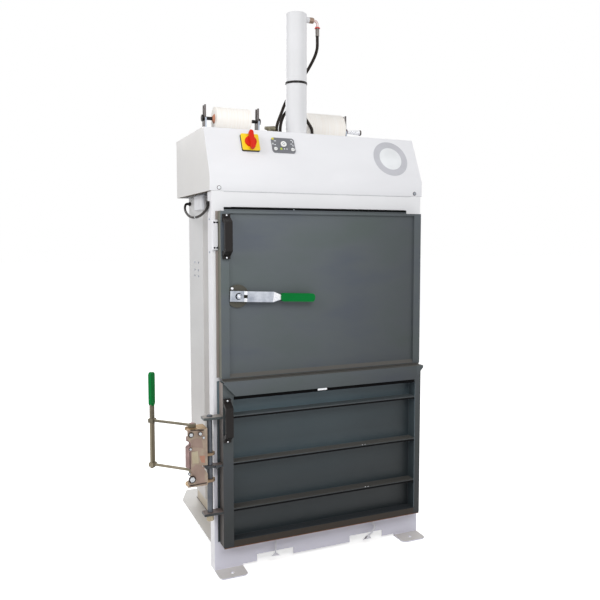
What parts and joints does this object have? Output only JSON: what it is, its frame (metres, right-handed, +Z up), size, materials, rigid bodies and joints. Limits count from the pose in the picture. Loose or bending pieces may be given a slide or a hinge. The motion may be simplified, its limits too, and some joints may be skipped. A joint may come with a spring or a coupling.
{
  "type": "waste compactor",
  "caption": "Upright waste compactor: white steel body, two side-hung grey doors, ratchet lock, latch lever, loading chute, standing hydraulic cylinder and strapping rolls.",
  "frame": {"origin": "midpoint between the two front anchor holes, on the floor", "axes": "+X to the right as seen from the front, +Y to the back, +Z up"},
  "size_m": [1.2075, 0.751, 2.349],
  "materials": {
    "white_paint": "satin powder coat, cool white",
    "body_paint": "satin powder coat, light grey",
    "door_paint": "satin powder coat, slate grey",
    "bare_steel": "plain machined steel",
    "zinc": "bright zinc plate, slightly milky",
    "yellow_zinc": "yellow passivated zinc, slightly iridescent",
    "dark_disc": "dark oiled steel",
    "black_plastic": "black moulded plastic",
    "green_grip": "green vinyl grip, soft sheen",
    "hose_rubber": "black hydraulic hose cover",
    "yellow_plate": "yellow switch plate",
    "red_handle": "red switch handle",
    "button_white": "white push button",
    "panel_grey": "grey control plate",
    "switch_white": "white switch housing",
    "tank_paint": "blue grey tank paint",
    "motor_paint": "motor enamel",
    "platen_paint": "worn dark grey paint",
    "strap_film": "wound cream white strapping",
    "strap_tape": "dull woven strapping tape"
  },
  "bodies": {
    "frame": {"front_frame": "white_paint", "side_wall_left": "body_paint", "side_wall_right": "body_paint", "rear_wall": "body_paint", "base_plate": "body_paint", "base_rails": "body_paint", "side_channel_left": "body_paint", "side_channel_right": "body_paint", "crosshead": "bare_steel", "top_cover": "white_paint", "cylinder_tube": "white_paint", "cylinder_band": "black_plastic", "cylinder_gland": "bare_steel", "hose_fittings": "zinc", "pressure_hose": "hose_rubber", "return_hose": "hose_rubber", "oil_tank": "tank_paint", "pump_motor": "motor_paint", "switch_base": "black_plastic", "switch_plate": "yellow_plate", "panel_plate": "panel_grey", "door_switch": "switch_white", "switch_cable": "hose_rubber", "cable_duct": "switch_white", "cable_glands": "black_plastic", "frame_hinges": "white_paint", "roll_brackets": "zinc", "strap_tails": "strap_tape", "door_seal": "hose_rubber", "body_screws": "zinc"},
    "upper_door": {"upper_door": "door_paint", "upper_door_back": "door_paint", "upper_door_hinges": "door_paint", "upper_handle": "black_plastic", "latch_disc": "dark_disc"},
    "latch": {"latch_lever": "zinc", "latch_grip": "green_grip", "latch_cam": "bare_steel"},
    "lower_door": {"lower_door": "door_paint", "loading_chute": "door_paint", "lower_handle": "black_plastic", "lower_door_hinges": "door_paint", "lock_brackets": "door_paint", "lock_rod": "bare_steel", "lock_nut": "yellow_zinc"},
    "lock": {"lock_housing": "yellow_zinc"},
    "pawl": {"lock_pawl": "zinc"},
    "lock_lever": {"lock_lever": "yellow_zinc", "lock_grip": "green_grip", "lock_spindle": "yellow_zinc"},
    "ram": {"piston_rod": "zinc", "press_platen": "platen_paint"},
    "start_button": {"start_button": "button_white"},
    "left_button": {"left_button": "button_white"},
    "right_button": {"right_button": "button_white"},
    "switch_handle": {"switch_handle": "red_handle"},
    "front_roll": {"front_roll": "strap_film", "front_spindle": "black_plastic"},
    "rear_roll": {"rear_roll": "strap_film", "rear_spindle": "black_plastic"}
  },
  "joints": [
    {"name": "upper_door_swing", "type": "hinge", "parent": "frame", "child": "upper_door", "pos_m": [0.467, 0.033, 1.1], "axis": [0, 0, 1], "range_deg": [0, 110]},
    {"name": "latch_turn", "type": "hinge", "parent": "upper_door", "child": "latch", "pos_m": [-0.388, -0.004, 1.121], "axis": [0, -1, 0], "range_deg": [0, 90]},
    {"name": "lower_door_swing", "type": "hinge", "parent": "frame", "child": "lower_door", "pos_m": [0.467, 0.033, 0.42], "axis": [0, 0, 1], "range_deg": [0, 110]},
    {"name": "lock_swing", "type": "hinge", "parent": "lower_door", "child": "lock", "pos_m": [-0.505, 0.013, 0.45], "axis": [0, 0, 1], "range_deg": [0, 90]},
    {"name": "lock_lever_swing", "type": "hinge", "parent": "lock", "child": "lock_lever", "pos_m": [-0.575, 0.013, 0.5], "axis": [0, 0, 1], "range_deg": [0, 80]},
    {"name": "pawl_lift", "type": "hinge", "parent": "lock", "child": "pawl", "pos_m": [-0.539, 0.003, 0.57], "axis": [0, 0, 1], "range_deg": [0, 15], "stiffness_Nm_per_rad": 0.05},
    {"name": "ram_stroke", "type": "slide", "parent": "frame", "child": "ram", "axis": [0, 0, -1], "range_m": [0, 0.6]},
    {"name": "main_switch_turn", "type": "hinge", "parent": "frame", "child": "switch_handle", "pos_m": [-0.301, 0.10257, 1.73239], "axis": [0, -0.9142, 0.4053], "range_deg": [-90, 0]},
    {"name": "start_button_press", "type": "slide", "parent": "frame", "child": "start_button", "axis": [0, 0.9142, -0.4053], "range_m": [0, 0.0025], "stiffness_N_per_m": 400},
    {"name": "left_button_press", "type": "slide", "parent": "frame", "child": "left_button", "axis": [0, 0.9142, -0.4053], "range_m": [0, 0.0025], "stiffness_N_per_m": 200},
    {"name": "right_button_press", "type": "slide", "parent": "frame", "child": "right_button", "axis": [0, 0.9142, -0.4053], "range_m": [0, 0.0025], "stiffness_N_per_m": 200},
    {"name": "front_roll_spin", "type": "hinge", "parent": "frame", "child": "front_roll", "pos_m": [-0.334, 0.243, 1.846], "axis": [1, 0, 0], "continuous": true},
    {"name": "rear_roll_spin", "type": "hinge", "parent": "frame", "child": "rear_roll", "pos_m": [0.189, 0.473, 1.87], "axis": [1, 0, 0], "continuous": true}
  ]
}
